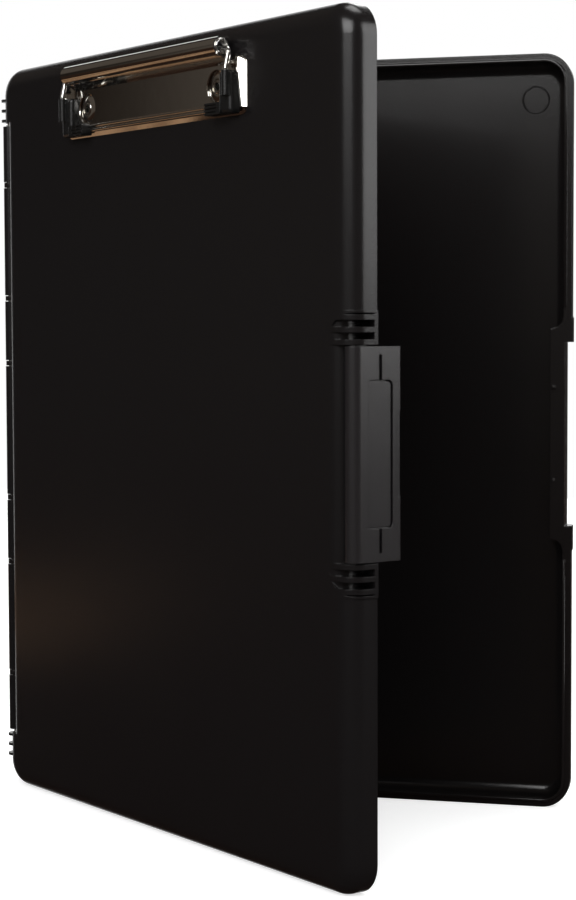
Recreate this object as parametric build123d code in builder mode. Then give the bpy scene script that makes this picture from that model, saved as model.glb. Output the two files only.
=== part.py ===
from build123d import *
import os
from math import asin, sin, cos, radians

os.makedirs("parts", exist_ok=True)

# A storage clipboard box: a hollow lid with a spring clip, a hollow tray behind it,
# a pin hinge along the left edge and a snap latch on the right edge.
# Millimetres. Z is up along the case's long side. The case stands on its lower end,
# half open: the tray faces the front (-Y) and the lid is swung forward.

# ---- case ----
case_height = 317.5
case_width = 250.2
shell_depth = 12.7          # each half, so the closed case is twice as thick
corner_r = 12.0             # corners seen from the front
edge_r = 8.0                # rounding of the outer long edges
lid_wall = 2.0
lid_hinge_wall = 6.8        # lid's left wall, which carries the knuckles
tray_wall = 3.6             # tray's wall, tongue included
floor_t = 2.4
tray_fillet = 4.0           # inside, where floor meets wall
lid_fillet = 6.0
parting_gap = 0.2           # between the closed rims
swing_gap = 0.05            # lid's trimmed edge inside the parting line
open_angle = 38.65          # how far the lid stands open

# ---- tongue on the tray's rim ----
tongue_w = 1.4
tongue_h = 0.8
tongue_start = 15.4         # from the left side, past the lid's rounded corner

# ---- hinge ----
knuckle_r = 2.8
hinge_depth = 3.7           # hinge axis behind the lid's front face
hinge_inset = 23.25         # end of the hinge below the case's top
ear_places = (0.22, 0.4317, 0.8)   # ear centres, as shares of half the hinge
ear_gap = 2.7               # break between knuckles
end_gap = 1.4               # break between the last knuckle and the thin ribs
ear_t = 2.1
ear_r = 2.6
ear_clearance = 0.3
swing_clearance = 0.8       # lid wall to spine
spine_w = 2.5
spine_reach = 3.1           # spine's front edge behind the hinge axis
pin_r = 0.9
pin_clearance = 0.05
pin_chamfer = 0.3
pin_over = 1.5              # pin beyond the last knuckle, at each end
fin_r = 3.4                 # thin ribs beside the hinge
fin_t = 1.1
fin_start = 1.0             # first rib's middle beyond the hinge
bore_over = 0.5             # bore beyond the pin's end
rib_pitch = 4.4
spine_pad = (6.9, 3.4)      # oval pads on the spine, tall and wide
spine_pad_z = 66.0
spine_pad_h = 0.5

# ---- latch bay in the lid ----
bay_half = 38.6             # half the height of the bay
bay_inset = 6.0             # bay wall behind the lid's side
bay_r = 5.9
rib_t = 1.95
rib_count = 3
rib_proud = 0.6
rib_pad_len = 12.2
rim_strip = 1.7             # wall left between the rib slots and the rim
scoop_r = 11.0              # rounded ends of the bay on the front face
bulge_w = 9.1               # inner wall of both halves behind the bay
tray_bulge_over = 5.8       # its length beyond the bay, at each end
lid_bulge_over = 13.4
tray_flare = 5.0            # rounding of that wall's ends
lid_flare = 1.0
notch_d = 2.9               # notch in the tray's side
pad_proud = 0.4             # pads beside the notch
pad_len = 10.4

# ---- latch ----
latch_gap = 0.5             # between the latch's ends and the bay's first ribs
latch_t = 2.5
latch_proud = 0.8
latch_reach = 22.8          # tip behind the lid's front face
latch_axis = (2.9, 3.7)     # pivot in from the case's side, and behind the lid's face
latch_barrel_r = 2.7
latch_shoulder_r = 4.7      # outer rounding between the root and the flat plate
trunnion_r = 1.15
trunnion_clearance = 0.07
trunnion_wall = 0.4         # left outside the hole in the bay's first rib
panel = (52.6, 11.1, 0.5)   # tall, wide, deep
panel_r = 2.0
panel_start = 7.9           # panel's near edge behind the front face
slot = (8.3, 1.3)           # grooves above and below the panel
thumb = (30.4, 2.1, 0.8)    # thumb notch at the tip
bead_reach = 1.6
bead_w = 1.4
bead_start = 20.6
bead_taper = 0.4
tip_round = 0.6
groove_clearance = 0.5      # round the bead, in the tray's notch
groove_play = 1.5           # at each end of the bead
peg_r = 0.7
peg_h = 1.0
peg_z = 19.6
peg_clearance = 0.25

# ---- clip ----
clip_drop = 24.1            # middle of the base plate below the case's top
base_len = 128.6
base_w = 21.8
base_t = 0.7
base_corner = 3.0
base_bevel = (2.6, 0.5)     # in from the edge, and down
flange_t = 0.95             # upturned ends of the base plate
flange_n = (2.3, 4.3)       # height of their lower and upper end over the lid's face
flange_lean = 0.3
jaw_lift = 0.25             # jaw plate above the base plate
jaw_t = 0.75
jaw_hole_r = 6.35
jaw_bead_r = 0.75
jaw_bead_pitch = 1.65
jaw_bead_gap = 0.4          # to the grips' feet
barrel_n = 5.3              # height over the lid's face
barrel_r = 3.8
lip_n = 2.4
wire_r = 1.0
wire_bend = 2.2
wire_set = 0.8              # below the barrel's middle
arm_rise = 0.9              # arm's bend above the grip
wire_n = (4.3, 6.0)         # height in the barrel and in the grips
pivot_n = 2.8
pivot_r = 1.0
jaw_ear_r = 1.9
stub_len = 0.6              # length of the stub inside the flange
stub_gap = 0.1
grip_n = 5.6
grip_corner = 1.2
grip_round = 1.8
boss_r = 1.7                # round the wire's arm
grip_floor = 0.25           # above the base plate
foot_n = 5.9
foot_lap = 1.5              # foot's length inside the grip
foot_corner = 0.6
foot_groove = (0.5, 1.3)    # width and depth, and pitch
# along the lid, up or down from the base plate's middle
rivet_rise = 0.5
jaw_drop = 9.2
crease_rise = 8.9
barrel_rise = 14.4
pivot_rise = 7.6
flange_ends = (-8.4, 9.6)
wire_drop = 2.9
grip_ends = (-10.5, 5.2)
boss_drop = 4.1
foot_drop = 6.0
# across the lid, in from the base plate's end
jaw_in = 5.8
jaw_hole_in = 17.55
rivet_in = 17.2
barrel_in = 8.5
wire_in = 5.1
jaw_ear_in = 3.1
grip_in = (10.8, 3.0)
foot_in = 19.7
# rivets and their washers
rivet_r = 1.9
rivet_clearance = 0.05
rivet_bore = 1.2
rivet_head_r = 2.9
rivet_head_h = 0.8
washer_r = 4.6
washer_t = 0.8

# ---- places that follow from the sizes ----
left_x = -knuckle_r
right_x = left_x + case_width
mid_x = left_x + case_width / 2
mid_z = case_height / 2
hinge_half = mid_z - hinge_inset
latch_half = bay_half - latch_gap
tray_bulge_half = bay_half + tray_bulge_over
lid_bulge_half = bay_half + lid_bulge_over
front_y = -hinge_depth
part_y = front_y + shell_depth
back_y = part_y + shell_depth
lid_rim_y = part_y - parting_gap / 2
tray_rim_y = part_y + parting_gap / 2
inset_x = left_x + spine_w + swing_clearance
turn = radians(open_angle)
lid_reach = (right_x + latch_proud - edge_r) * sin(turn) - (front_y + edge_r) * cos(turn) + edge_r
hinge_x = -(right_x + pad_proud - fin_r) / 2
hinge_y = (lid_reach - back_y) / 2
swing_r = lid_rim_y - swing_gap

# clip: heights along the lid, and stations across it from the clip's middle
clip_z = case_height - clip_drop
rivet_z = clip_z + rivet_rise
jaw_bottom = clip_z - jaw_drop
crease_z = clip_z + crease_rise
barrel_z = clip_z + barrel_rise
pivot_z = clip_z + pivot_rise
grip_low = clip_z + grip_ends[0]
grip_high = clip_z + grip_ends[1]
boss_z = clip_z - boss_drop
foot_top = clip_z - foot_drop
wire_end_z = clip_z - wire_drop
base_end = base_len / 2
jaw_half = base_end - jaw_in
jaw_hole_half = base_end - jaw_hole_in
rivet_half = base_end - rivet_in
barrel_half = base_end - barrel_in
wire_half = base_end - wire_in
jaw_ear_half = base_end - jaw_ear_in
grip_half = (base_end - grip_in[0], base_end - grip_in[1])
foot_half = base_end - foot_in
jaw_n = base_t + jaw_lift

# The tray stands square to the model, and the lid is turned about the hinge axis.
tray = Plane(origin=(hinge_x, hinge_y, 0), x_dir=(1, 0, 0), z_dir=(0, 0, 1))
lid = Plane(origin=tray.origin, x_dir=(cos(turn), -sin(turn), 0), z_dir=(0, 0, 1))


def facing(frame, depth):
    """Plane that faces the front at a depth: sketches read left to right and up."""
    spot = frame.from_local_coords((0, depth, 0))
    return Plane(origin=spot, x_dir=frame.x_dir, z_dir=-frame.y_dir)


def level(frame, height):
    """Plane across the case at a height: sketches read right and back."""
    spot = frame.from_local_coords((0, 0, height))
    return Plane(origin=spot, x_dir=frame.x_dir, z_dir=frame.z_dir)


def across(frame, station):
    """Plane that looks along the width: sketches read out from the lid's face, and up."""
    spot = frame.from_local_coords((station, front_y, 0))
    return Plane(origin=spot, x_dir=-frame.y_dir, z_dir=-frame.x_dir)


def outward(frame):
    return Axis(frame.origin, -frame.y_dir)


def hollow_outline(wall_left, wall):
    width = case_width - wall_left - wall
    with Locations((left_x + wall_left + width / 2, mid_z)):
        RectangleRounded(width, case_height - 2 * wall, corner_r - wall)


def bulge_outline(bulge_half, wall, flare):
    """Wall kept behind the latch, rounded out into the side wall at both ends."""
    inner = right_x - bulge_w
    side = right_x - wall
    low = mid_z - bulge_half
    high = mid_z + bulge_half
    with BuildLine() as outline:
        Polyline((side - flare, high), (inner, high), (inner, low), (side - flare, low))
        RadiusArc((side - flare, low), (side, low - flare), flare)
        Polyline((side, low - flare), (right_x, low - flare), (right_x, high + flare),
                 (side, high + flare))
        RadiusArc((side, high + flare), (side - flare, high), flare)
    return outline.edges()


def side_contour(shift, face_y, rim_y, inward):
    """Rounded outer edge on the right side, moved outwards: profile at one level."""
    side = right_x + shift
    with BuildLine() as contour:
        Polyline((side - edge_r, face_y), (side - edge_r, rim_y), (side, rim_y),
                 (side, face_y + inward * edge_r))
        RadiusArc((side, face_y + inward * edge_r), (side - edge_r, face_y), inward * edge_r)
    return contour.edges()


# ---- hollows, rounded where floor meets wall ----
with BuildPart() as tray_hollow:
    with BuildSketch(facing(tray, tray_rim_y)):
        hollow_outline(tray_wall, tray_wall)
    extrude(amount=tray_rim_y + floor_t - back_y)
    fillet(tray_hollow.faces().sort_by(outward(tray))[0].edges(), tray_fillet)
    with BuildSketch(facing(tray, tray_rim_y)):
        make_face(bulge_outline(tray_bulge_half, tray_wall, tray_flare))
    extrude(amount=-shell_depth, mode=Mode.SUBTRACT)

with BuildPart() as lid_hollow:
    with BuildSketch(facing(lid, lid_rim_y)):
        hollow_outline(lid_hinge_wall, lid_wall)
    extrude(amount=lid_rim_y - front_y - floor_t)
    fillet(lid_hollow.faces().sort_by(outward(lid))[-1].edges(), lid_fillet)
    with BuildSketch(facing(lid, lid_rim_y)):
        make_face(bulge_outline(lid_bulge_half, lid_wall, lid_flare))
    extrude(amount=shell_depth, mode=Mode.SUBTRACT)

# ---- tray: the back half of the case ----
with BuildPart() as tray_shell:
    with BuildSketch(facing(tray, tray_rim_y)):
        with Locations((mid_x, mid_z)):
            RectangleRounded(case_width, case_height, corner_r)
    extrude(amount=-(back_y - tray_rim_y))
    fillet(tray_shell.faces().sort_by(outward(tray))[0].edges(), edge_r)
    # pads beside the latch notch
    for side in (-1, 1):
        with BuildSketch(level(tray, mid_z + side * (bay_half + pad_len / 2))):
            make_face(side_contour(pad_proud, back_y, tray_rim_y, -1))
        extrude(amount=pad_len / 2, both=True)
    add(tray_hollow.part, mode=Mode.SUBTRACT)
    # tongue on the rim, open at the hinge side and behind the latch
    with BuildSketch(facing(tray, tray_rim_y)):
        ring_w = case_width - 2 * (tray_wall - tongue_w)
        with Locations((mid_x, mid_z)):
            RectangleRounded(ring_w, case_height - 2 * (tray_wall - tongue_w),
                             corner_r - tray_wall + tongue_w)
            RectangleRounded(case_width - 2 * tray_wall, case_height - 2 * tray_wall,
                             corner_r - tray_wall, mode=Mode.SUBTRACT)
        with Locations((left_x, mid_z)):
            Rectangle(2 * tongue_start, case_height, mode=Mode.SUBTRACT)
        with Locations((right_x, mid_z)):
            Rectangle(2 * bulge_w, 2 * (lid_bulge_half + lid_flare) + 1, mode=Mode.SUBTRACT)
    extrude(amount=tongue_h)
    # notch for the latch, with a groove that its bead snaps into
    with BuildSketch(facing(tray, tray_rim_y)):
        with Locations((right_x, mid_z)):
            Rectangle(2 * notch_d, 2 * bay_half)
    extrude(amount=-shell_depth, mode=Mode.SUBTRACT)
    groove_d = bead_reach + latch_t - latch_proud - notch_d + 2 * groove_clearance
    with BuildSketch(facing(tray, front_y + bead_start - groove_clearance)):
        with Locations((right_x - notch_d, mid_z)):
            Rectangle(2 * groove_d, thumb[0] + 2 * groove_play)
    extrude(amount=-(bead_w + 2 * groove_clearance), mode=Mode.SUBTRACT)
    # locating pegs on the land behind the latch
    with BuildSketch(facing(tray, tray_rim_y)):
        with Locations((right_x - (bulge_w + bay_inset) / 2, mid_z)):
            with GridLocations(0, 2 * peg_z, 1, 2):
                Circle(peg_r)
    extrude(amount=peg_h)
    # spine: the left wall reaches forward to the hinge
    with BuildSketch(level(tray, mid_z)):
        with Locations((left_x, spine_reach)):
            Rectangle(spine_w, tray_rim_y + tray_wall - spine_reach, align=(Align.MIN, Align.MIN))
    extrude(amount=hinge_half - ear_clearance, both=True)
    for place in ear_places:
        for side in (-1, 1):
            with BuildSketch(level(tray, mid_z + side * place * hinge_half)):
                Circle(ear_r)
                with Locations((-ear_r, 0)):
                    Rectangle(left_x + spine_w + ear_r, spine_reach + 1,
                              align=(Align.MIN, Align.MIN))
                Circle(pin_r + pin_clearance, mode=Mode.SUBTRACT)
            extrude(amount=ear_t / 2, both=True)
    # oval pads on the spine's outer face
    with BuildSketch(Plane(origin=tray.from_local_coords((left_x, 0, 0)),
                           x_dir=tray.y_dir, z_dir=tray.x_dir)):
        with Locations(((spine_reach + part_y) / 2, mid_z)):
            with GridLocations(0, 2 * spine_pad_z, 1, 2):
                SlotOverall(spine_pad[0], spine_pad[1], rotation=90)
    extrude(amount=-spine_pad_h)
tray_shell.part.label = "tray_shell"


# ---- cutter for the latch bay and its rib slots ----
def bay_profile(end_y):
    """Everything outside the bay's inset wall, back to a depth: profile at one level."""
    far = right_x + 5
    wall_x = right_x - bay_inset
    with BuildLine() as profile:
        Polyline((wall_x, front_y + bay_r), (wall_x, end_y), (far, end_y), (far, front_y - 1),
                 (wall_x - bay_r, front_y - 1), (wall_x - bay_r, front_y))
        RadiusArc((wall_x - bay_r, front_y), (wall_x, front_y + bay_r), -bay_r)
    return profile.edges()


slot_half = bay_half + rib_count * rib_pitch - rib_t
with BuildPart() as bay_cutter:
    with BuildSketch(level(lid, mid_z)):
        make_face(bay_profile(lid_rim_y - rim_strip))
    extrude(amount=slot_half, both=True)
    with BuildSketch(facing(lid, front_y - 2)):
        with Locations((right_x - bay_inset - bay_r + slot_half, mid_z)):
            RectangleRounded(2 * slot_half, 2 * slot_half, scoop_r)
    extrude(amount=-2 * shell_depth, mode=Mode.INTERSECT)
    for side in (-1, 1):
        for number in range(rib_count):
            rib_z = mid_z + side * (bay_half + rib_t / 2 + number * rib_pitch)
            with BuildSketch(level(lid, rib_z)):
                with Locations((right_x, part_y)):
                    Rectangle(4 * shell_depth, 4 * shell_depth)
            extrude(amount=rib_t / 2, both=True, mode=Mode.SUBTRACT)
    with BuildSketch(level(lid, mid_z)):
        make_face(bay_profile(part_y + 1))
    extrude(amount=bay_half, both=True)

latch_x = right_x - latch_axis[0]
latch_y = front_y + latch_axis[1]
trunnion_hole_half = bay_half + rib_t - trunnion_wall

# ---- lid: the front half, whose face is the clipboard ----
with BuildPart() as lid_shell:
    with BuildSketch(facing(lid, front_y)):
        with Locations((mid_x, mid_z)):
            RectangleRounded(case_width, case_height, corner_r)
    extrude(amount=-(lid_rim_y - front_y))
    fillet(lid_shell.faces().sort_by(outward(lid))[-1].edges(), edge_r)
    # raised pads at both ends of the latch bay
    for side in (-1, 1):
        with BuildSketch(level(lid, mid_z + side * (bay_half + rib_pad_len / 2))):
            make_face(side_contour(rib_proud, front_y, lid_rim_y, 1))
        extrude(amount=rib_pad_len / 2, both=True)
    add(lid_hollow.part, mode=Mode.SUBTRACT)
    # the latch bay and the slots between its ribs
    add(bay_cutter.part, mode=Mode.SUBTRACT)
    # holes for the latch's trunnions
    with BuildSketch(level(lid, mid_z)):
        with Locations((latch_x, latch_y)):
            Circle(trunnion_r + trunnion_clearance)
    extrude(amount=trunnion_hole_half, both=True, mode=Mode.SUBTRACT)
    # sockets for the tray's pegs
    with BuildSketch(facing(lid, lid_rim_y)):
        with Locations((right_x - (bulge_w + bay_inset) / 2, mid_z)):
            with GridLocations(0, 2 * peg_z, 1, 2):
                Circle(peg_r + peg_clearance)
    extrude(amount=peg_h + peg_clearance, mode=Mode.SUBTRACT)
    # the left edge steps in along the hinge
    with BuildSketch(level(lid, mid_z)):
        with BuildLine():
            Polyline((inset_x + edge_r, front_y), (inset_x + edge_r, front_y - 1),
                     (left_x - 2, front_y - 1), (left_x - 2, part_y + 1),
                     (inset_x, part_y + 1), (inset_x, front_y + edge_r))
            RadiusArc((inset_x, front_y + edge_r), (inset_x + edge_r, front_y), -edge_r)
        make_face()
    extrude(amount=hinge_half, both=True, mode=Mode.SUBTRACT)
    # knuckles, with breaks for the ears and a bore for the pin
    with BuildSketch(level(lid, mid_z)):
        Circle(knuckle_r)
    extrude(amount=hinge_half - end_gap, both=True)
    for place in ear_places:
        for side in (-1, 1):
            with BuildSketch(level(lid, mid_z + side * place * hinge_half)):
                Circle(knuckle_r + ear_clearance)
            extrude(amount=ear_gap / 2, both=True, mode=Mode.SUBTRACT)
    # thin ribs beyond both ends of the hinge
    for side in (-1, 1):
        for number in range(rib_count):
            fin_z = mid_z + side * (hinge_half + fin_start + number * rib_pitch)
            with BuildSketch(level(lid, fin_z)):
                Circle(fin_r)
            extrude(amount=fin_t / 2, both=True)
    with BuildSketch(level(lid, mid_z)):
        Circle(pin_r + pin_clearance)
    extrude(amount=hinge_half + pin_over + bore_over, both=True, mode=Mode.SUBTRACT)
    # the lower left edge is trimmed to swing clear of the tray's rim
    with BuildSketch(level(lid, mid_z)):
        with Locations((left_x - 1, part_y + 1)):
            Rectangle(knuckle_r + 1, 4, align=(Align.MIN, Align.MAX))
        Circle(swing_r, mode=Mode.SUBTRACT)
    extrude(amount=case_height, both=True, mode=Mode.SUBTRACT)
    # rivet holes
    with BuildSketch(facing(lid, front_y)):
        with Locations((mid_x, rivet_z)):
            with GridLocations(2 * rivet_half, 0, 2, 1):
                Circle(rivet_r + rivet_clearance)
    extrude(amount=-floor_t * 2, mode=Mode.SUBTRACT)
lid_shell.part.label = "lid_shell"

# ---- hinge pin ----
with BuildPart() as hinge_pin:
    with BuildSketch(level(tray, mid_z)):
        Circle(pin_r)
    extrude(amount=hinge_half + pin_over, both=True)
    chamfer(hinge_pin.edges(), pin_chamfer)
hinge_pin.part.label = "hinge_pin"

# ---- latch: rounded root, flat plate down the side, bead inside the tip ----
plate_out = right_x + latch_proud
plate_in = plate_out - latch_t
tip_y = front_y + latch_reach
# the shoulder's arc runs into the root's circle without a corner
shoulder_x = plate_out - latch_shoulder_r
lean = asin((latch_x - shoulder_x) / (latch_shoulder_r - latch_barrel_r))
shoulder_y = latch_y + (latch_shoulder_r - latch_barrel_r) * cos(lean)
root_x = latch_x + latch_barrel_r * sin(lean)
root_y = latch_y - latch_barrel_r * cos(lean)
with BuildPart() as latch:
    with BuildSketch(level(lid, mid_z)):
        with Locations((latch_x, latch_y)):
            Circle(latch_barrel_r)
        with BuildLine():
            Polyline((plate_out, shoulder_y), (plate_out, tip_y), (plate_in, tip_y),
                     (plate_in, latch_y), (root_x, root_y))
            RadiusArc((root_x, root_y), (plate_out, shoulder_y), -latch_shoulder_r)
        make_face()
    extrude(amount=latch_half, both=True)
    # bead inside the tip
    with BuildSketch(level(lid, mid_z)):
        bead_y = front_y + bead_start
        with BuildLine():
            Polyline((plate_in + 0.1, bead_y), (plate_in - bead_reach + bead_taper, bead_y),
                     (plate_in - bead_reach, bead_y + bead_w / 2),
                     (plate_in - bead_reach + bead_taper, bead_y + bead_w),
                     (plate_in + 0.1, bead_y + bead_w), close=True)
        make_face()
    extrude(amount=thumb[0] / 2, both=True)
    # softened tip and ends
    tip_edges = latch.edges().filter_by(Axis.Z).sort_by(Axis(lid.origin, lid.y_dir))[-2:]
    fillet(tip_edges, tip_round)
    # panel, its two grooves and the thumb notch, all cut into the outer face
    with BuildSketch(Plane(origin=lid.from_local_coords((plate_out, front_y, mid_z)),
                           x_dir=lid.y_dir, z_dir=lid.x_dir)):
        with Locations((panel_start + panel[1] / 2, 0)):
            RectangleRounded(panel[1], panel[0], panel_r)
            with GridLocations(0, panel[0] + slot[0], 1, 2):
                SlotOverall(slot[0] + slot[1], slot[1], rotation=90)
    extrude(amount=-panel[2], mode=Mode.SUBTRACT)
    with BuildSketch(Plane(origin=lid.from_local_coords((plate_out, tip_y, mid_z)),
                           x_dir=lid.y_dir, z_dir=lid.x_dir)):
        RectangleRounded(2 * thumb[1], thumb[0], 1.0)
    extrude(amount=-thumb[2], mode=Mode.SUBTRACT)
    # trunnions
    with BuildSketch(level(lid, mid_z)):
        with Locations((latch_x, latch_y)):
            Circle(trunnion_r)
    extrude(amount=trunnion_hole_half - trunnion_clearance, both=True)
latch.part.label = "latch"

# ---- clip: base plate ----
with BuildPart() as clip_base_plate:
    with BuildSketch(facing(lid, front_y)):
        with Locations((mid_x, clip_z)):
            RectangleRounded(base_len, base_w, base_corner)
    extrude(amount=base_t)
    base_top = clip_base_plate.faces().sort_by(outward(lid))[-1]
    chamfer(base_top.edges(), base_bevel[0], base_bevel[1], reference=base_top)
    # upturned ends that carry the jaw in a blind hole each
    flange_low = clip_z + flange_ends[0]
    flange_high = clip_z + flange_ends[1]
    for side in (-1, 1):
        with BuildSketch(across(lid, mid_x + side * (base_end - flange_t / 2))):
            with BuildLine():
                Polyline((0, flange_high - flange_n[0]), (0, flange_low), (flange_n[0], flange_low),
                         (flange_n[1], pivot_z), (flange_n[1] - flange_lean, flange_high))
                RadiusArc((flange_n[1] - flange_lean, flange_high), (0, flange_high - flange_n[0]),
                          -flange_n[1])
            make_face()
        extrude(amount=flange_t / 2, both=True)
        with BuildSketch(across(lid, mid_x + side * (base_end - flange_t))):
            with Locations((pivot_n, pivot_z)):
                Circle(pivot_r + pin_clearance)
        extrude(amount=-side * (stub_len + stub_gap), mode=Mode.SUBTRACT)
    with BuildSketch(facing(lid, front_y)):
        with Locations((mid_x, rivet_z)):
            with GridLocations(2 * rivet_half, 0, 2, 1):
                Circle(rivet_r + rivet_clearance)
    extrude(amount=base_t, mode=Mode.SUBTRACT)
clip_base_plate.part.label = "clip_base_plate"

# ---- clip: jaw plate, which rises at a crease and rolls over into a half barrel ----
with BuildPart() as clip_jaw_plate:
    with BuildSketch(across(lid, mid_x)):
        with Locations((jaw_n, jaw_bottom)):
            Rectangle(jaw_t, crease_z - jaw_t - jaw_bottom, align=(Align.MIN, Align.MIN))
    extrude(amount=jaw_half, both=True)
    with BuildSketch(across(lid, mid_x)):
        barrel_low = barrel_z - barrel_r
        barrel_top = barrel_z + barrel_r
        with BuildLine():
            Polyline((barrel_n, barrel_low), (jaw_n + jaw_t, crease_z - jaw_t),
                     (jaw_n + jaw_t, crease_z - 2 * jaw_t), (jaw_n, crease_z - 2 * jaw_t),
                     (jaw_n, crease_z - jaw_t / 2), (barrel_n, barrel_low + jaw_t))
            ThreePointArc((barrel_n, barrel_low + jaw_t), (barrel_n + barrel_r - jaw_t, barrel_z),
                          (barrel_n, barrel_top - jaw_t))
            Polyline((barrel_n, barrel_top - jaw_t), (lip_n, barrel_top - jaw_t),
                     (lip_n, barrel_top), (barrel_n, barrel_top))
            ThreePointArc((barrel_n, barrel_top), (barrel_n + barrel_r, barrel_z),
                          (barrel_n, barrel_low))
        make_face()
    extrude(amount=barrel_half, both=True)
    # two beads along the lower edge
    with BuildSketch(across(lid, mid_x)):
        for bead_z in (jaw_bottom + jaw_bead_r, jaw_bottom + jaw_bead_r + jaw_bead_pitch):
            with Locations((jaw_n + jaw_t, bead_z)):
                Circle(jaw_bead_r)
    extrude(amount=foot_half - jaw_bead_gap, both=True)
    with BuildSketch(facing(lid, front_y)):
        with Locations((mid_x, rivet_z)):
            with GridLocations(2 * jaw_hole_half, 0, 2, 1):
                Circle(jaw_hole_r)
    extrude(amount=jaw_n + jaw_t, mode=Mode.SUBTRACT)
    # ears at both ends, each with a stub that turns in the base plate's flange
    for side in (-1, 1):
        with BuildSketch(across(lid, mid_x + side * (jaw_ear_half - jaw_t / 2))):
            with Locations((pivot_n, pivot_z)):
                Circle(jaw_ear_r)
            with Locations((jaw_n, pivot_z)):
                Rectangle(pivot_n - jaw_n, jaw_ear_r, align=(Align.MIN, Align.MAX))
        extrude(amount=jaw_t / 2, both=True)
        with BuildSketch(facing(lid, front_y - jaw_n)):
            with Locations((mid_x + side * jaw_half, pivot_z)):
                Rectangle(2 * (jaw_ear_half - jaw_half), jaw_ear_r, align=(Align.CENTER, Align.MAX))
        extrude(amount=jaw_t)
        with BuildSketch(across(lid, mid_x + side * (jaw_ear_half - jaw_t / 2))):
            with Locations((pivot_n, pivot_z)):
                Circle(pivot_r)
        extrude(amount=-side * (base_end - flange_t + stub_len - jaw_ear_half + jaw_t / 2))
clip_jaw_plate.part.label = "clip_jaw_plate"

# ---- clip: torsion wire through the barrel, with an arm down into each grip ----
wire_z = barrel_z - wire_set
arm_z = grip_high + arm_rise
wire_route = [(-wire_half, wire_n[1], wire_end_z), (-wire_half, wire_n[1], arm_z),
              (-wire_half, wire_n[0], wire_z), (wire_half, wire_n[0], wire_z),
              (wire_half, wire_n[1], arm_z), (wire_half, wire_n[1], wire_end_z)]
with BuildPart() as clip_wire_spring:
    with BuildLine():
        wire_points = [lid.from_local_coords((mid_x + station, front_y - stand, height))
                       for station, stand, height in wire_route]
        wire_path = FilletPolyline(*wire_points, radius=wire_bend)
    with BuildSketch(Plane(origin=wire_path @ 0, z_dir=wire_path % 0)):
        Circle(wire_r)
    sweep()
clip_wire_spring.part.label = "clip_wire_spring"

# ---- clip: moulded grips on the jaw's lower corners ----
grip_bottom = base_t + grip_floor
grips = {}
for side, name in ((-1, "left"), (1, "right")):
    with BuildPart() as clip_grip:
        grip_mid = mid_x + side * (grip_half[0] + grip_half[1]) / 2
        with BuildSketch(facing(lid, front_y - grip_bottom)):
            with Locations((grip_mid, (grip_low + grip_high) / 2)):
                RectangleRounded(grip_half[1] - grip_half[0], grip_high - grip_low, grip_corner)
        extrude(amount=grip_n - grip_bottom)
        upright = clip_grip.edges().filter_by(Axis.Z).group_by(outward(lid))[-1]
        fillet(upright, grip_round)
        # rounded boss along the wire's arm
        with BuildSketch(level(lid, boss_z)):
            with Locations((mid_x + side * wire_half, front_y - wire_n[1])):
                Circle(boss_r)
                Rectangle(2 * boss_r, wire_n[1] - grip_bottom, align=(Align.CENTER, Align.MIN))
        extrude(amount=grip_high - boss_z)
        # foot along the lower edge, with three grooves across its face
        with BuildSketch(facing(lid, front_y - grip_bottom)):
            foot_mid = mid_x + side * (foot_half + grip_half[0] + foot_lap) / 2
            with Locations((foot_mid, (grip_low + foot_top) / 2)):
                RectangleRounded(grip_half[0] + foot_lap - foot_half, foot_top - grip_low, foot_corner)
        extrude(amount=foot_n - grip_bottom)
        with BuildSketch(facing(lid, front_y - foot_n)):
            with Locations((foot_mid - side * grip_corner, (grip_low + foot_top) / 2)):
                with GridLocations(0, foot_groove[1], 1, 3):
                    Rectangle(grip_half[0] - foot_half, foot_groove[0])
        extrude(amount=-foot_groove[0], mode=Mode.SUBTRACT)
        # seat for the jaw plate's corner, and a socket for the wire's arm
        with BuildSketch(facing(lid, front_y)):
            with Locations((mid_x, jaw_bottom)):
                Rectangle(2 * jaw_half, base_w, align=(Align.CENTER, Align.MIN))
        extrude(amount=jaw_n + jaw_t, mode=Mode.SUBTRACT)
        with BuildSketch(level(lid, wire_end_z - stub_gap)):
            with Locations((mid_x + side * wire_half, front_y - wire_n[1])):
                Circle(wire_r + pin_clearance)
        extrude(amount=base_w, mode=Mode.SUBTRACT)
    grips[name] = clip_grip.part
    grips[name].label = "clip_grip_" + name

# ---- clip: tubular rivets through the lid's face, and their washers inside ----
rivets = {}
washers = {}
tail_n = -(floor_t + washer_t)
for side, name in ((-1, "left"), (1, "right")):
    axis_plane = across(lid, mid_x + side * rivet_half)
    with BuildPart() as clip_rivet:
        with BuildSketch(axis_plane):
            with BuildLine():
                Polyline((base_t, rivet_z + rivet_head_r), (base_t, rivet_z + rivet_r),
                         (tail_n, rivet_z + rivet_r), (tail_n, rivet_z + rivet_head_r),
                         (tail_n - rivet_head_h / 2, rivet_z + rivet_head_r - 0.2),
                         (tail_n - rivet_head_h / 2, rivet_z + rivet_bore),
                         (base_t + rivet_head_h, rivet_z + rivet_bore + 0.4))
                ThreePointArc((base_t + rivet_head_h, rivet_z + rivet_bore + 0.4),
                              (base_t + rivet_head_h * 0.8, rivet_z + rivet_head_r - 0.3),
                              (base_t, rivet_z + rivet_head_r))
            make_face()
        revolve(axis=Axis(axis_plane.from_local_coords((0, rivet_z, 0)), -lid.y_dir))
    rivets[name] = clip_rivet.part
    rivets[name].label = "clip_rivet_" + name
    with BuildPart() as rivet_washer:
        with BuildSketch(facing(lid, front_y + floor_t)):
            with Locations((mid_x + side * rivet_half, rivet_z)):
                Circle(washer_r)
                Circle(rivet_r + rivet_clearance, mode=Mode.SUBTRACT)
        extrude(amount=-washer_t)
    washers[name] = rivet_washer.part
    washers[name].label = "rivet_washer_" + name

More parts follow.
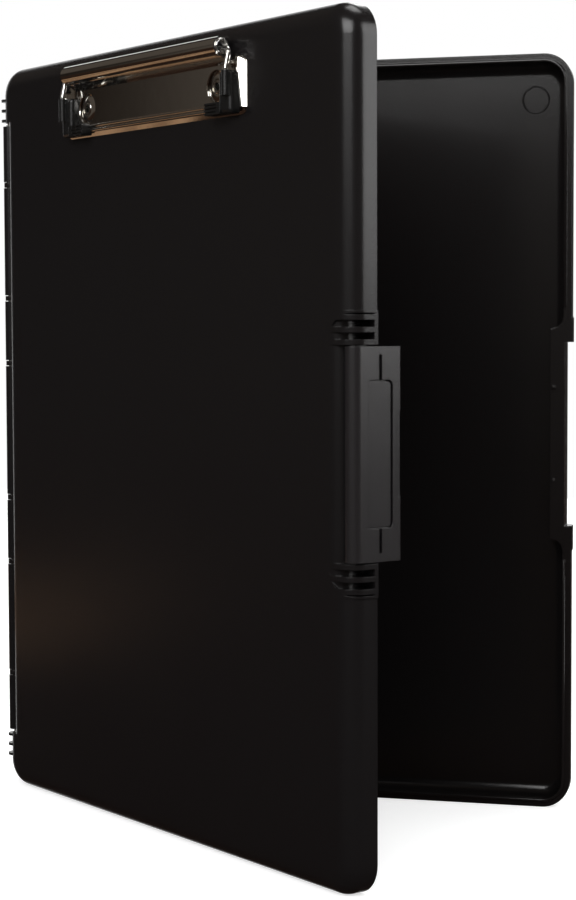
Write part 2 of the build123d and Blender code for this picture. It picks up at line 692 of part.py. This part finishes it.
export_step(tray_shell.part, "parts/tray_shell.step")
export_step(lid_shell.part, "parts/lid_shell.step")
export_step(hinge_pin.part, "parts/hinge_pin.step")
export_step(latch.part, "parts/latch.step")
export_step(clip_base_plate.part, "parts/clip_base_plate.step")
export_step(clip_jaw_plate.part, "parts/clip_jaw_plate.step")
export_step(clip_wire_spring.part, "parts/clip_wire_spring.step")
for name in ("left", "right"):
    export_step(grips[name], f"parts/clip_grip_{name}.step")
    export_step(rivets[name], f"parts/clip_rivet_{name}.step")
    export_step(washers[name], f"parts/rivet_washer_{name}.step")
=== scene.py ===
from math import cos, pi, radians, sin

import bmesh
import bpy
from mathutils import Euler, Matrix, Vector


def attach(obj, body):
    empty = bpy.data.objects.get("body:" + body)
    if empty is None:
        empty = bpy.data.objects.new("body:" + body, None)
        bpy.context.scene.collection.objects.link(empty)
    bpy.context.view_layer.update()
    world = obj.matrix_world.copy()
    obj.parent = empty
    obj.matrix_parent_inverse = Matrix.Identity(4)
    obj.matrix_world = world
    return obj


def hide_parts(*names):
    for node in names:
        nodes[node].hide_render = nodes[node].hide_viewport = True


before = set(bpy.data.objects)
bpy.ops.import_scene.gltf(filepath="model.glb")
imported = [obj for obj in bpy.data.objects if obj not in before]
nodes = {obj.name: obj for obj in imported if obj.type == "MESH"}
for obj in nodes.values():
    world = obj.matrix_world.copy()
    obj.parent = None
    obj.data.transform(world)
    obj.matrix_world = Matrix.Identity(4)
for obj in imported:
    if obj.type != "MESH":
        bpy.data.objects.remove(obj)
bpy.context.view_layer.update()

# A storage clipboard box in black plastic with a nickel-plated clip, standing on its
# end and half open. Metres, +Z up, the tray's opening faces -Y.

scene = bpy.context.scene

# ---- directions and places: the tray stands square, the lid is turned about the hinge ----
UP = Vector((0.0, 0.0, 1.0))
TRAY_OUT = Vector((0.0, -1.0, 0.0))
LID_TURN = radians(38.65)
LID_OUT = Vector((-sin(LID_TURN), -cos(LID_TURN), 0.0))
LID_RIGHT = Vector((cos(LID_TURN), -sin(LID_TURN), 0.0))
HINGE = Vector((-0.1222, 0.06648, 0.0))
LID_FACE = 0.0037             # writing face in front of the hinge's axis
TRAY_FLOOR = 0.0193           # tray's floor behind the hinge's axis
TONGUE_CREST = 0.0083         # crest of the tongue on the tray's rim, behind the hinge's axis
CLIP_MIDDLE = 0.1223          # middle of the clip, right of the hinge's axis


def on_lid(right, out, height):
    """Point right of the hinge's axis, out from the writing face and over the floor."""
    return HINGE + LID_RIGHT * right + LID_OUT * (LID_FACE + out) + UP * height


# ---- shader helpers ----
def new_material(name):
    material = bpy.data.materials.new(name)
    material.use_nodes = True
    tree = material.node_tree
    return material, tree, tree.nodes["Principled BSDF"]


def set_sockets(node, values):
    for socket, value in values.items():
        node.inputs[socket].default_value = value


def object_coordinates(tree):
    """The row frame's metres as texture space."""
    return tree.nodes.new("ShaderNodeTexCoord").outputs["Object"]


def noise(tree, vector, scale, detail):
    node = tree.nodes.new("ShaderNodeTexNoise")
    set_sockets(node, {"Scale": scale, "Detail": detail})
    tree.links.new(vector, node.inputs["Vector"])
    return node.outputs["Fac"]


def ramp(tree, value, start=0.0, end=1.0, low=0.0, high=1.0, interpolation="LINEAR"):
    """Low up to the start, high from the end on, and a slope in between."""
    node = tree.nodes.new("ShaderNodeMapRange")
    node.interpolation_type = interpolation
    set_sockets(node, {"From Min": start, "From Max": end, "To Min": low, "To Max": high})
    tree.links.new(value, node.inputs["Value"])
    return node.outputs["Result"]


def maths(tree, operation, first, second=None):
    """One Math node; a second operand that is a plain number goes on its socket."""
    node = tree.nodes.new("ShaderNodeMath")
    node.operation = operation
    tree.links.new(first, node.inputs[0])
    if isinstance(second, float):
        node.inputs[1].default_value = second
    elif second is not None:
        tree.links.new(second, node.inputs[1])
    return node.outputs["Value"]


def distance_along(tree, vector, direction, origin):
    """How far a point lies from the origin in one direction."""
    offset = tree.nodes.new("ShaderNodeVectorMath")
    offset.operation = "SUBTRACT"
    offset.inputs[1].default_value = origin
    tree.links.new(vector, offset.inputs[0])
    along = tree.nodes.new("ShaderNodeVectorMath")
    along.operation = "DOT_PRODUCT"
    along.inputs[1].default_value = direction
    tree.links.new(offset.outputs["Vector"], along.inputs[0])
    return along.outputs["Value"]


BEVEL_SAMPLES = 4


def bump(tree, shader, height, distance, edge_round=0.0):
    """Relief over the surface; sharp edges can be shaded as slightly rounded."""
    node = tree.nodes.new("ShaderNodeBump")
    if edge_round > 0.0:
        edges = tree.nodes.new("ShaderNodeBevel")
        edges.samples = BEVEL_SAMPLES
        edges.inputs["Radius"].default_value = edge_round
        tree.links.new(edges.outputs["Normal"], node.inputs["Normal"])
    set_sockets(node, {"Strength": 1.0, "Distance": distance})
    tree.links.new(height, node.inputs["Height"])
    tree.links.new(node.outputs["Normal"], shader.inputs["Normal"])


# ---- black moulded plastic ----
LID_BLACK = (0.006, 0.0053, 0.0056, 1.0)
TRAY_BLACK = (0.0065, 0.0055, 0.0055, 1.0)
LATCH_BLACK = (0.010, 0.0088, 0.0097, 1.0)
GRIP_BLACK = (0.006, 0.006, 0.006, 1.0)
FLOW_SCALE, FLOW_DETAIL = 9.0, 3.0
GRAIN_SCALE, GRAIN_DETAIL = 1800.0, 2.0
FLOW_SHARE = 3.0              # height of the flow marks, in grains
GLOSS_SPREAD = 0.05
EDGE_ROUND = 0.0003
TRAY_EDGE_ROUND = 0.0008


def moulded_plastic(name, colour, roughness, grain, specular=0.5, edge_round=EDGE_ROUND):
    """A fine spark grain, slow flow marks and uneven gloss."""
    material, tree, shader = new_material(name)
    set_sockets(shader, {"Base Color": colour, "Specular IOR Level": specular})
    vector = object_coordinates(tree)
    flow = noise(tree, vector, FLOW_SCALE, FLOW_DETAIL)
    fine = noise(tree, vector, GRAIN_SCALE, GRAIN_DETAIL)
    tree.links.new(ramp(tree, flow, low=roughness - GLOSS_SPREAD, high=roughness + GLOSS_SPREAD),
                   shader.inputs["Roughness"])
    bump(tree, shader, maths(tree, "ADD", fine, ramp(tree, flow, high=FLOW_SHARE)), grain, edge_round)
    return material


# ---- bright plated steel ----
NICKEL = (0.80, 0.78, 0.74, 1.0)
BRIGHT_NICKEL = (0.82, 0.80, 0.76, 1.0)
SPRING_GREY = (0.72, 0.71, 0.69, 1.0)
CLOUD_SCALE, CLOUD_DETAIL = 60.0, 3.0
CLOUD_LOW, CLOUD_HIGH = 0.6, 1.4          # shares of the roughness
DENT_SCALE, DENT_DETAIL, DENT_HEIGHT = 220.0, 2.0, 0.00001
FLARE_START = 0.0633          # the base plate's upturned ends, from its middle
FLARE_SLOPE = LID_OUT * 0.95 + UP * 0.16
PLATE_FOOT = (0.2825, 0.2851)             # heights of the base plate's lower bevel
FOOT_RISE = 0.0012


def plated_steel(name, colour, roughness, base_plate=False):
    """Small dents and changes of gloss. The base plate's ends lean out, and so does its
    lower bevel."""
    material, tree, shader = new_material(name)
    set_sockets(shader, {"Base Color": colour, "Metallic": 1.0})
    vector = object_coordinates(tree)
    cloudy = noise(tree, vector, CLOUD_SCALE, CLOUD_DETAIL)
    tree.links.new(ramp(tree, cloudy, low=roughness * CLOUD_LOW, high=roughness * CLOUD_HIGH),
                   shader.inputs["Roughness"])
    height = maths(tree, "MULTIPLY", noise(tree, vector, DENT_SCALE, DENT_DETAIL), DENT_HEIGHT)
    if base_plate:
        along = distance_along(tree, vector, LID_RIGHT, on_lid(CLIP_MIDDLE, 0.0, 0.0))
        at_end = maths(tree, "GREATER_THAN", maths(tree, "ABSOLUTE", along), FLARE_START)
        fall = maths(tree, "MULTIPLY", distance_along(tree, vector, FLARE_SLOPE, HINGE), -1.0)
        height = maths(tree, "ADD", height, maths(tree, "MULTIPLY", fall, at_end))
        levels = tree.nodes.new("ShaderNodeSeparateXYZ")
        tree.links.new(vector, levels.inputs["Vector"])
        foot = ramp(tree, levels.outputs["Z"], *PLATE_FOOT, high=FOOT_RISE)
        height = maths(tree, "ADD", height, foot)
    bump(tree, shader, height, 1.0)
    return material


# ---- materials on the CAD pieces ----
def paint(names, material):
    for name in names:
        mesh = nodes[name].data
        mesh.materials.clear()
        mesh.materials.append(material)


lid_plastic = moulded_plastic("lid_plastic", LID_BLACK, roughness=0.23, grain=0.00003)
tray_plastic = moulded_plastic("tray_plastic", TRAY_BLACK, roughness=0.18, grain=0.00002,
                               edge_round=TRAY_EDGE_ROUND)
rim_plastic = moulded_plastic("rim_plastic", TRAY_BLACK, roughness=0.18, grain=0.00002, edge_round=0.0)
latch_plastic = moulded_plastic("latch_plastic", LATCH_BLACK, roughness=0.27, grain=0.00003,
                                specular=0.85)
grip_plastic = moulded_plastic("grip_plastic", GRIP_BLACK, roughness=0.28, grain=0.00002)
clip_nickel = plated_steel("clip_nickel", NICKEL, roughness=0.08)
base_nickel = plated_steel("base_nickel", NICKEL, roughness=0.08, base_plate=True)
wire_steel = plated_steel("wire_steel", SPRING_GREY, roughness=0.14)
rivet_nickel = plated_steel("rivet_nickel", BRIGHT_NICKEL, roughness=0.1)

paint(["lid_shell"], lid_plastic)
paint(["tray_shell"], tray_plastic)
paint(["clip_grip_left", "clip_grip_right"], grip_plastic)
paint(["clip_jaw_plate"], clip_nickel)
paint(["clip_base_plate"], base_nickel)
paint(["clip_wire_spring", "hinge_pin"], wire_steel)
paint(["clip_rivet_left", "clip_rivet_right", "rivet_washer_left", "rivet_washer_right"],
      rivet_nickel)

# ---- mesh helpers ----
WELD = 1e-6                   # points closer together than this become one
TURN_STEPS = 64


def add_object(name, data):
    added = bpy.data.objects.new(name, data)
    scene.collection.objects.link(added)
    return added


def dress(piece, material, body, sharp_angle):
    """Give an added piece its material, its shading, sharp from the angle on, and its body."""
    data = piece.data
    data.materials.clear()
    data.materials.append(material)
    data.shade_smooth()
    data.set_sharp_from_angle(angle=radians(sharp_angle))
    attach(piece, body)


def skin(mesh, ring, next_ring):
    """Faces between two closed outlines of as many points."""
    for index in range(len(ring)):
        after = (index + 1) % len(ring)
        mesh.faces.new((ring[index], next_ring[index], next_ring[after], ring[after]))


def closed_mesh(mesh, name):
    bmesh.ops.recalc_face_normals(mesh, faces=mesh.faces)
    data = bpy.data.meshes.new(name)
    mesh.to_mesh(data)
    mesh.free()
    return data


def welded(data):
    """The mesh for editing, with its seams joined."""
    mesh = bmesh.new()
    mesh.from_mesh(data)
    bmesh.ops.remove_doubles(mesh, verts=mesh.verts, dist=WELD)
    return mesh


def turned(name, centre, axis, outline):
    """Closed ring: its outline of (radius, height) is turned about the axis at centre."""
    across = axis.orthogonal().normalized()
    along = axis.cross(across)
    mesh = bmesh.new()
    rings = []
    for step in range(TURN_STEPS):
        angle = 2.0 * pi * step / TURN_STEPS
        outward = across * cos(angle) + along * sin(angle)
        rings.append([mesh.verts.new(centre + outward * radius + axis * height)
                      for radius, height in outline])
    for ring, next_ring in zip(rings, rings[1:] + rings[:1]):
        skin(mesh, ring, next_ring)
    return add_object(name, closed_mesh(mesh, name))


# ---- tray: one of the mould's ejector pins has left a faint ring on the floor ----
RING_SHARP = 40.0
MARK_PLACE = Vector((0.1085, HINGE.y + TRAY_FLOOR, 0.2995))
MARK_OUTLINE = ((0.00500, -0.0001), (0.00530, 0.00028), (0.00560, 0.00028), (0.00600, -0.0001))
dress(turned("ejector_mark", MARK_PLACE, TRAY_OUT, MARK_OUTLINE), tray_plastic, "tray",
      RING_SHARP)

# ---- tray: the tongue's crest is rounded off, which catches the light along the rim ----
CREST_SLACK = 0.0001
CREST_FACING = 0.99           # cosine between a face of the crest and the tray's opening
CROWN_SHARP = 60.0
CROWN_ROOT = 0.0002           # how far the crown reaches into the tongue
CROWN_STEPS = ((0.00022, 0.00022), (0.00022, 0.00010))    # inwards and up, step by step


def on_crest(face):
    level = face.calc_center_median().y - (HINGE.y + TONGUE_CREST)
    return face.normal.dot(TRAY_OUT) > CREST_FACING and abs(level) < CREST_SLACK


def crown_mesh():
    """A thin crown on the tongue's flat crest, taken from the tray's own faces."""
    mesh = welded(nodes["tray_shell"].data)
    others = [face for face in mesh.faces if not on_crest(face)]
    bmesh.ops.delete(mesh, geom=others, context="FACES")
    root = list(mesh.faces)
    grown = bmesh.ops.extrude_face_region(mesh, geom=root, use_keep_orig=True)["geom"]
    top = [item for item in grown if isinstance(item, bmesh.types.BMFace)]
    for vertex in {vertex for face in root for vertex in face.verts}:
        vertex.co -= TRAY_OUT * CROWN_ROOT
    for width, rise in CROWN_STEPS:
        bmesh.ops.inset_region(mesh, faces=top, thickness=width, depth=rise, use_even_offset=True,
                               use_boundary=True)
    return closed_mesh(mesh, "rim_crown")


dress(add_object("rim_crown", crown_mesh()), rim_plastic, "tray", CROWN_SHARP)

# ---- latch: the moulding gets a deep groove round its panel, and deeper slots ----
LATCH_FACE = 0.2482           # outer face, right of the hinge's axis
LATCH_MIDDLE = 0.15875        # height over the floor
LATCH_SHARP = 25.0
FLAT_ANGLE = 0.5              # faces that meet at less than this are one flat area
GROOVE_WIDTH = 0.00065
GROOVE_DEPTH = 0.0014
CUTTER_OVER = 0.001           # how far the cutters stand out of the face
PANEL_HALF = 0.0263
PANEL_NEAR = 0.0086           # the groove's open ends, behind the lid's face
PANEL_FAR = 0.0190
PANEL_ROUND = 0.002
ROUND_STEPS = 6
SLOT_NEAR, SLOT_FAR = 0.01280, 0.01410
SLOT_START, SLOT_END = 0.0262, 0.0350


def groove_cutter(outline):
    """Block through the latch's face: outline of (behind the lid's face, over the middle)."""
    mesh = bmesh.new()
    outer, inner = [[mesh.verts.new(on_lid(right, -back, LATCH_MIDDLE + up)) for back, up in outline]
                    for right in (LATCH_FACE + CUTTER_OVER, LATCH_FACE - GROOVE_DEPTH)]
    mesh.faces.new(outer)
    mesh.faces.new(inner[::-1])
    skin(mesh, outer, inner)
    return add_object("groove_cutter", closed_mesh(mesh, "groove_cutter"))


def panel_line(inset):
    """Bottom, rounded far side and top of the panel, moved inwards."""
    radius = PANEL_ROUND - inset
    line = [(PANEL_NEAR, inset - PANEL_HALF)]
    for side in (-1, 1):
        for step in range(ROUND_STEPS + 1):
            share = step / ROUND_STEPS
            angle = side * pi / 2 * (1.0 - share if side < 0 else share)
            line.append((PANEL_FAR - PANEL_ROUND + radius * cos(angle),
                         side * (PANEL_HALF - PANEL_ROUND) + radius * sin(angle)))
    line.append((PANEL_NEAR, PANEL_HALF - inset))
    return line


def cut(piece, outline):
    """Take the space of one cutter out of the piece, for good."""
    cutter = groove_cutter(outline)
    modifier = piece.modifiers.new("cut", "BOOLEAN")
    modifier.operation = "DIFFERENCE"
    modifier.solver = "EXACT"
    modifier.object = cutter
    graph = bpy.context.evaluated_depsgraph_get()
    data = bpy.data.meshes.new_from_object(piece.evaluated_get(graph))
    piece.modifiers.clear()
    piece.data = data
    bpy.data.objects.remove(cutter)


def latch_mesh():
    """The CAD latch with each of its flat areas in one face."""
    mesh = welded(nodes["latch"].data)
    bmesh.ops.dissolve_limit(mesh, angle_limit=radians(FLAT_ANGLE), verts=mesh.verts,
                             edges=mesh.edges)
    data = bpy.data.meshes.new("latch_moulding")
    mesh.to_mesh(data)
    mesh.free()
    return data


latch_moulding = add_object("latch_moulding", latch_mesh())
cut(latch_moulding, panel_line(0.0) + panel_line(GROOVE_WIDTH)[::-1])
for low, high in ((SLOT_START, SLOT_END), (-SLOT_END, -SLOT_START)):
    cut(latch_moulding, ((SLOT_NEAR, low), (SLOT_FAR, low), (SLOT_FAR, high), (SLOT_NEAR, high)))
for attribute in [item for item in latch_moulding.data.attributes if item.name == "custom_normal"]:
    latch_moulding.data.attributes.remove(attribute)
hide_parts("latch")
dress(latch_moulding, latch_plastic, "latch", LATCH_SHARP)
latch_moulding.modifiers.new("flat_faces_lead", "WEIGHTED_NORMAL").keep_sharp = True

# ---- clip: the spring's coils show in both ends of the barrel ----
BARREL_HALF = 0.0558
BARREL_OUT = 0.0053
BARREL_HEIGHT = 0.3078
COIL_RADIUS = 0.0026
COIL_WIRE = 0.00045           # radius of the wire
COIL_PITCH = 2.1 * COIL_WIRE
COIL_TURNS = 4
COIL_STEPS = 20
WIRE_ROUNDNESS = 3


def spring_coil(name, side):
    """Turns of wire from one end of the barrel inwards; the side is -1 or 1."""
    data = bpy.data.curves.new(name, "CURVE")
    data.dimensions = "3D"
    data.bevel_depth = COIL_WIRE
    data.bevel_resolution = WIRE_ROUNDNESS
    data.use_fill_caps = True
    line = data.splines.new("POLY")
    line.points.add(COIL_TURNS * COIL_STEPS)
    for index, point in enumerate(line.points):
        turns = index / COIL_STEPS
        angle = 2.0 * pi * turns
        along = CLIP_MIDDLE + side * (BARREL_HALF + COIL_WIRE - turns * COIL_PITCH)
        place = on_lid(along, BARREL_OUT + COIL_RADIUS * cos(angle),
                       BARREL_HEIGHT + COIL_RADIUS * sin(angle))
        point.co = (*place, 1.0)
    line.use_smooth = True
    data.materials.append(wire_steel)
    coil = add_object(name, data)
    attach(coil, "jaw")


spring_coil("spring_coil_left", -1.0)
spring_coil("spring_coil_right", 1.0)

# ---- clip: the base plate is pressed up a little round each rivet ----
PLATE_TOP = 0.0007
RIVET_PLACES = {"left": -0.0471, "right": 0.0471}         # from the clip's middle
RIVET_HEIGHT = 0.2939
PRESSED_OUTLINE = ((0.0030, -0.0001), (0.0030, 0.00080), (0.0035, 0.00086), (0.0059, 0.00005),
                   (0.0061, -0.0001))
for side, offset in RIVET_PLACES.items():
    boss = turned("pressed_boss_" + side, on_lid(CLIP_MIDDLE + offset, PLATE_TOP, RIVET_HEIGHT),
                  LID_OUT, PRESSED_OUTLINE)
    dress(boss, clip_nickel, "lid", RING_SHARP)

# ---- floor: the camera sees it lifted to the white of the backdrop, less its shadows ----
FLOOR_SIZE = 3.4
FLOOR_PALE = (0.86, 0.86, 0.86, 1.0)
FLOOR_LIFT = 0.6
WHITE = (1.0, 1.0, 1.0, 1.0)
MATT = 0.9
bpy.ops.mesh.primitive_plane_add(size=FLOOR_SIZE, location=(0.0, 0.0, 0.0))
floor = bpy.context.object
floor.name = "floor"
floor_material, floor_tree, floor_shader = new_material("floor_pale")
set_sockets(floor_shader, {"Base Color": FLOOR_PALE, "Roughness": MATT, "Specular IOR Level": 0.0,
                           "Emission Color": WHITE})
floor_paths = floor_tree.nodes.new("ShaderNodeLightPath")
floor_tree.links.new(ramp(floor_tree, floor_paths.outputs["Is Camera Ray"], high=FLOOR_LIFT),
                     floor_shader.inputs["Emission Strength"])
floor.data.materials.append(floor_material)
floor.visible_glossy = False

# ---- a brown table top beside the object, that only mirror-like surfaces see; it glows a little though it is no lamp, which paints warm reflections into them ----
TABLE_PLACE = (-0.68, 0.33, 0.0)
TABLE_SIZE = (0.40, 0.5, 1.0)
TABLE_GLOW = 0.2
PATCH_SCALE, PATCH_DETAIL = 9.0, 2.0
PATCHES = ((0.42, (0.16, 0.075, 0.03, 1.0)), (0.56, (0.80, 0.48, 0.27, 1.0)))
bpy.ops.mesh.primitive_plane_add(size=1.0, location=TABLE_PLACE)
table = bpy.context.object
table.name = "table_top"
table.scale = TABLE_SIZE
table_material, table_tree, table_shader = new_material("table_top")
# the card's own glow, not a lamp: painted warm reflection in the plated steel and the plastic
set_sockets(table_shader, {"Roughness": MATT, "Emission Strength": TABLE_GLOW})
table_brown = table_tree.nodes.new("ShaderNodeValToRGB")
for element, (position, colour) in zip(table_brown.color_ramp.elements, PATCHES):
    element.position = position
    element.color = colour
table_tree.links.new(noise(table_tree, object_coordinates(table_tree), PATCH_SCALE, PATCH_DETAIL),
                     table_brown.inputs["Fac"])
for socket in ("Base Color", "Emission Color"):
    table_tree.links.new(table_brown.outputs["Color"], table_shader.inputs[socket])
table.data.materials.append(table_material)
table.visible_camera = False
table.visible_diffuse = False
table.visible_shadow = False

# ---- light: azimuth is from -Y towards +X, in degrees ----
SOFTBOXES = {
    "front_box": {"azimuth": -10.0, "elevation": 31.0, "distance": 2.2, "size": (1.7, 1.35),
                  "radiance": 4.9},
    "right_box": {"azimuth": 82.0, "elevation": 20.0, "distance": 2.0, "size": (1.1, 1.25),
                  "radiance": 3.3},
    "top_box": {"azimuth": 150.0, "elevation": 76.0, "distance": 2.0, "size": (1.0, 0.9),
                "radiance": 3.2},
    "back_box": {"azimuth": 168.0, "elevation": 30.0, "distance": 2.3, "size": (1.5, 1.2),
                 "radiance": 3.4},
}
TARGET = Vector((0.0, 0.0, 0.16))


def softbox(name, azimuth, elevation, distance, size, radiance):
    """Rectangular lamp turned to the object."""
    turn = Euler((radians(-elevation), 0.0, radians(azimuth)), "XYZ")
    lamp_data = bpy.data.lights.new(name, "AREA")
    lamp_data.shape = "RECTANGLE"
    lamp_data.size, lamp_data.size_y = size
    lamp_data.energy = radiance * pi * size[0] * size[1]
    lamp = add_object(name, lamp_data)
    lamp.location = TARGET + turn.to_matrix() @ Vector((0.0, -distance, 0.0))
    lamp.rotation_euler = (TARGET - lamp.location).to_track_quat("-Z", "Y").to_euler()


for name, settings in SOFTBOXES.items():
    softbox(name, **settings)

# ---- world: white for the camera; glossy surfaces see that white as a wall behind the
# object on the left, and a dim warm room with a dark corner round the rest ----
ROOM_COLOUR = (0.070, 0.059, 0.049, 1.0)
CORNER_COLOUR = (0.012, 0.009, 0.007, 1.0)
BELOW_COLOUR = (0.022, 0.012, 0.008, 1.0)
FILL_LEVEL = 0.3              # what matt surfaces get from all sides
# where each part of the room starts and ends, as X, Y or Z of the direction seen
CORNER_BACK = (0.04, 0.14)
CORNER_LEVEL = (0.32, 0.16)
SHADE_BACK = (0.54, 0.60)
BELOW_LEVEL = (-0.02, -0.10)
WALL_BACK = (0.48, 0.56)
WALL_RIGHT = (0.08, -0.04)
WALL_LEVEL = 0.2              # above and below this the wall starts further back

world = bpy.data.worlds.new("studio")
scene.world = world
world.use_nodes = True
world_tree = world.node_tree


def backdrop(colour, strength=1.0):
    node = world_tree.nodes.new("ShaderNodeBackground")
    set_sockets(node, {"Color": colour, "Strength": strength})
    return node.outputs["Background"]


def blend(factor, first, second):
    node = world_tree.nodes.new("ShaderNodeMixShader")
    for index, socket in enumerate((factor, first, second)):
        world_tree.links.new(socket, node.inputs[index])
    return node.outputs["Shader"]


def edge(value, start, end):
    return ramp(world_tree, value, start, end, interpolation="SMOOTHSTEP")


seen = world_tree.nodes.new("ShaderNodeSeparateXYZ")
world_tree.links.new(world_tree.nodes.new("ShaderNodeTexCoord").outputs["Generated"],
                     seen.inputs["Vector"])
right, back, level = seen.outputs["X"], seen.outputs["Y"], seen.outputs["Z"]
off_level = maths(world_tree, "ABSOLUTE", level)
corner = maths(world_tree, "MULTIPLY", edge(back, *CORNER_BACK), edge(off_level, *CORNER_LEVEL))
dark = maths(world_tree, "MAXIMUM", corner, edge(back, *SHADE_BACK))
above = blend(dark, backdrop(ROOM_COLOUR), backdrop(CORNER_COLOUR))
room = blend(edge(level, *BELOW_LEVEL), above, backdrop(BELOW_COLOUR))
past_level = maths(world_tree, "MAXIMUM", maths(world_tree, "SUBTRACT", off_level, WALL_LEVEL), 0.0)
wall = maths(world_tree, "MULTIPLY", edge(maths(world_tree, "SUBTRACT", back, past_level), *WALL_BACK),
             edge(right, *WALL_RIGHT))
seen_in_gloss = blend(wall, room, backdrop(WHITE))
paths = world_tree.nodes.new("ShaderNodeLightPath")
lit = blend(paths.outputs["Is Glossy Ray"], backdrop(WHITE, FILL_LEVEL), seen_in_gloss)
shown = blend(paths.outputs["Is Camera Ray"], lit, backdrop(WHITE))
world_tree.links.new(shown, world_tree.nodes["World Output"].inputs["Surface"])

# ---- camera: solved from the outlines of both halves in the photograph ----
CAMERA_FROM_HINGE = Vector((0.35612, -0.86181, 0.20217))
CAMERA_YAW = 14.895
CAMERA_PITCH = -3.268
CAMERA_ROLL = -0.192
CAMERA_LENS = 83.03
SENSOR_WIDTH = 36.0
camera_data = bpy.data.cameras.new("photo_camera")
camera_data.lens = CAMERA_LENS
camera_data.sensor_width = SENSOR_WIDTH
camera = add_object("photo_camera", camera_data)
camera.location = HINGE + CAMERA_FROM_HINGE
look = Euler((radians(90.0 + CAMERA_PITCH), 0.0, radians(CAMERA_YAW)), "XYZ").to_matrix()
roll = Euler((0.0, 0.0, radians(CAMERA_ROLL)), "XYZ").to_matrix()
camera.rotation_euler = (look @ roll).to_euler()
scene.camera = camera

scene.view_settings.view_transform = "Standard"
